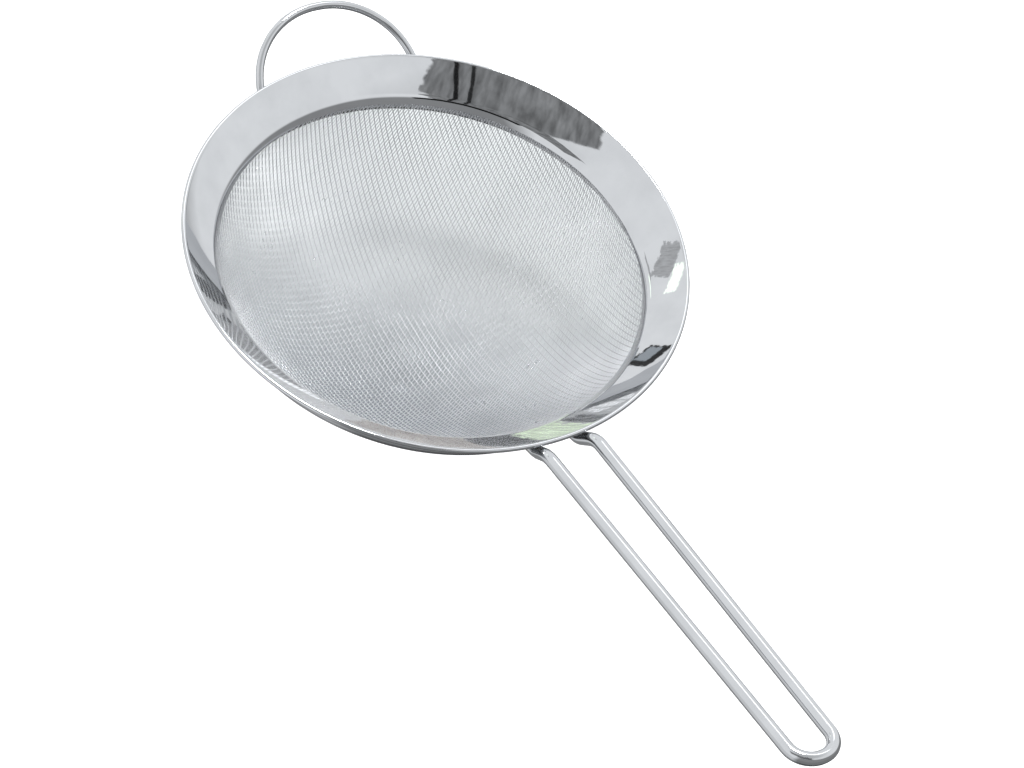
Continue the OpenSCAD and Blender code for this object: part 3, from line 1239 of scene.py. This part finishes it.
@dataclass
class Studio:
    """The floor, the light and the camera.

    Attributes:
        wall_glow: brightness of the studio's walls.
        dim_glow: brightness of the room low down behind the camera.
        dim_plane: normal of the plane that the dim room lies under.
        dim_side: direction of the dim room.
        cards: the boards that the steel reflects.
        card_distance: their distance, in metres.
        card_step: how much nearer each card is than the one before, in metres.
        key_azimuth: direction of the key light from +X, in degrees.
        key_elevation: its height above the horizon, in degrees.
        key_distance: its distance, in metres.
        key_size: length of its side, in metres.
        key_power: its power, in watts.
        floor_size: length of the floor's side, in metres.
        aim: the place that the camera looks at, in metres.
        eye_distance: distance from there to the camera, in metres.
        eye_azimuth: direction of the camera, in degrees from +X.
        eye_elevation: height of the camera above the horizon, in degrees.
        eye_roll: turn of the camera about its line of sight, in degrees.
        lens: focal length, in millimetres.
    """

    wall_glow: float = 1.12
    dim_glow: float = 0.36
    dim_plane: tuple[float, float, float] = (-1.046, 0.653, 2.594)
    dim_side: tuple[float, float, float] = (0.927, 0.375, 0.0)
    card_distance: float = 1.6
    card_step: float = 0.02
    key_azimuth: float = 150.0
    key_elevation: float = 62.0
    key_distance: float = 1.5
    key_size: float = 0.25
    key_power: float = 6.0
    floor_size: float = 12.0
    aim: tuple[float, float, float] = (0.03313, -0.00307, 0.00835)
    eye_distance: float = 0.66453
    eye_azimuth: float = -44.05
    eye_elevation: float = 49.92
    eye_roll: float = 18.32
    lens: float = 130.4
    cards: tuple[Card, ...] = (
        Card("skylight", 141.0, 51.0, 28.0, 11.0, 2.6, roll=-28.0, torn=0.2),
        Card("dark_ceiling", -60.0, 56.0, 56.0, 24.0, 0.30, roll=14.0, torn=0.10, streaks=0.4),
        Card("dark_post", -25.0, 60.0, 1.6, 24.0, 0.02, torn=1.0),
        Card("dark_lamp_arm", -34.0, 60.0, 1.2, 20.0, 0.03, torn=1.4),
        Card("dark_frame", 174.0, 7.0, 6.0, 8.0, 0.06, torn=0.5, streaks=0.5),
        Card("blue_pane", 174.5, 8.0, 4.0, 4.5, 0.55, torn=0.5, colour=(0.85, 0.93, 1.0, 1.0)),
        Card("window", -163.0, 21.0, 9.0, 4.0, 2.0, roll=10.0, torn=0.7, colour=(0.9, 1.0, 0.88, 1.0)),
        Card("shutter", -157.0, 27.0, 11.0, 7.0, 0.62, torn=0.6, streaks=0.2),
        Card("dark_door", 118.0, -7.5, 4.0, 11.0, 0.05, torn=0.5, streaks=0.5),
        Card("dark_shelf", 124.0, -13.0, 2.8, 8.0, 0.16, roll=20.0, torn=0.5, streaks=0.4),
        Card("grey_wall", 127.5, -14.5, 9.0, 13.0, 0.5, torn=0.4, streaks=0.2),
        Card("white_slats", 132.0, -19.5, 2.2, 8.0, 1.9, roll=-30.0, torn=0.8, streaks=0.4),
        Card(
            "brown_bench", 140.5, -23.0, 6.5, 14.0, 0.56, torn=0.3, streaks=0.4,
            colour=(1.0, 0.90, 0.82, 1.0),
        ),
        Card("dark_bench", 146.2, -19.5, 4.6, 14.0, 0.06, torn=0.6, streaks=0.4),
        Card("garden", 151.0, -15.0, 6.0, 16.0, 1.6, torn=1.0, streaks=0.5, colour=(0.84, 1.0, 0.72, 1.0)),
        Card("grey_post", 155.5, -11.5, 2.6, 11.0, 0.16, torn=0.7, streaks=0.4),
        Card("white_wall", 160.5, -5.0, 6.0, 9.0, 1.9, torn=0.9, streaks=0.2),
        Card("black_beam", -36.0, 45.5, 42.0, 6.5, 0.01, torn=0.15),
    )

    def world(self) -> None:
        """Light the studio: pale walls, a dimmer ceiling and ground, and a dim room behind the camera.

        The dim room lies under a tilted plane and on one side: its share is a ramp of n . d, with n the
        plane's normal and d the direction, times a ramp of s . d, with s the direction of the room.
        """
        world = bpy.data.worlds.new("studio")
        bpy.context.scene.world = world
        world.use_nodes = True
        s = Shading(world.node_tree)
        toward = s.add("ShaderNodeTexCoord").outputs["Generated"]
        low = s.spread(s.measure("DOT_PRODUCT", toward, self.dim_plane), 0.8, 1.12, 1.0, 0.0)
        facing = s.spread(s.measure("DOT_PRODUCT", toward, self.dim_side), -0.05, 0.2, 0.0, 1.0)
        dim = s.math("MULTIPLY", low, facing)
        walls = s.spread(dim, 0.0, 1.0, self.wall_glow, self.dim_glow)
        height = s.height(toward)
        ceiling = s.spread(height, 0.8, 1.0, 1.0, 0.6)
        ground = s.spread(height, -0.82, -0.64, 0.3, 0.8)
        horizon = s.spread(height, -0.04, 0.04, 1.0, 1.25)
        shares = s.math("MULTIPLY", s.math("MULTIPLY", ceiling, ground), horizon)
        strength = s.math("MULTIPLY", walls, shares)
        shader = s.add("ShaderNodeBackground", {"Color": DAYLIGHT, "Strength": strength})
        s.add("ShaderNodeOutputWorld", {"Surface": shader.outputs[0]})

    def floor(self, height: float, rim: Rim) -> None:
        """Lay the floor, with its painted shade disc where the camera sees the floor through the cloth.

        A line from the camera through a point of the mouth goes on to the floor, so the disc is the mouth's
        circle, larger and further off in proportion to the heights. It is painted shade, not a cast shadow,
        and it stays where it is in other views.

        Args:
            height: its height, in metres.
            rim: the rim whose mouth the disc fills.
        """
        eye = self.eye() / MM
        grown = (eye.z - height / MM) / (eye.z - rim.lip_z)
        radius = rim.mouth_r * grown
        # painted shade on the floor, behind the cloth as the camera sees it
        finish = FloorFinish(eye.x * (1 - grown), eye.y * (1 - grown), (radius + 0.8, radius + 3.0))
        half = self.floor_size / 2
        corners = [(x * half, y * half, height) for x, y in ((-1, -1), (1, -1), (1, 1), (-1, 1))]
        floor = flat_sheet("floor", corners, finish.material())
        floor.visible_glossy = False
        floor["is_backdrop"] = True

    def lamp(self) -> None:
        """Hang the key light, a square soft box that faces the strainer."""
        data = bpy.data.lights.new("key", "AREA")
        data.size, data.energy = self.key_size, self.key_power
        away = direction(self.key_azimuth, self.key_elevation)
        lamp = bpy.data.objects.new("key", data)
        lamp.location = away * self.key_distance
        lamp.rotation_euler = away.to_track_quat("Z", "Y").to_euler()
        bpy.context.scene.collection.objects.link(lamp)

    def away(self) -> Vector:
        """The direction from the strainer to the camera."""
        return direction(self.eye_azimuth, self.eye_elevation)

    def eye(self) -> Vector:
        """The camera's place, in metres."""
        return Vector(self.aim) + self.away() * self.eye_distance

    def camera(self) -> None:
        """Set up the camera: high on the handle's right, turned a little about its own line of sight."""
        data = bpy.data.cameras.new("camera")
        data.lens = self.lens
        data.clip_start, data.clip_end = 0.01, 100.0
        camera = bpy.data.objects.new("camera", data)
        camera.rotation_mode = "QUATERNION"
        roll = Quaternion((0, 0, 1), math.radians(self.eye_roll))
        camera.rotation_quaternion = self.away().to_track_quat("Z", "Y") @ roll
        camera.location = self.eye()
        bpy.context.scene.collection.objects.link(camera)
        bpy.context.scene.camera = camera

    def build(self, floor_z: float, rim: Rim) -> None:
        """Set up the whole studio.

        Args:
            floor_z: height of the floor, in metres.
            rim: the strainer's rim.
        """
        bpy.context.scene.view_settings.view_transform = "Standard"
        self.world()
        self.floor(floor_z, rim)
        for number, card in enumerate(self.cards):
            card.build(self.card_distance - self.card_step * number)
        self.lamp()
        self.camera()


def main() -> None:
    """Build the strainer piece by piece, and then the studio round it."""
    logging.basicConfig(level=logging.INFO, format="%(name)s: %(message)s", stream=sys.stdout)
    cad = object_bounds()
    rim = Rim.from_frame()
    handle, loop = Handle.from_frame(rim), RestLoop.from_frame(rim)
    welds = tuple(tuple(float(x) for x in spot) for wire in (handle, loop) for spot in wire.weld_spots())
    clean, dull = (0.60, 0.61, 0.625, 1.0), (0.55, 0.56, 0.575, 1.0)
    sheet = TurnedSheet("polished_sheet", clean, dull, (0.018, 0.04), 0.0003, welds)
    wire = DrawnWire("polished_wire", clean, dull, (0.06, 0.13), 0.002)
    cloth = SteelFinish("woven_wire", (0.82, 0.83, 0.85, 1.0), (0.70, 0.71, 0.73, 1.0), (0.25, 0.45), 0.002)
    rim.build(sheet)
    WovenBowl.from_frame(rim).build(cloth)
    ClampRing.from_frame(rim).build(sheet)
    handle.build(wire)
    loop.build(wire)
    Studio().build(cad[0].z, rim)


if __name__ == "__main__":
    main()
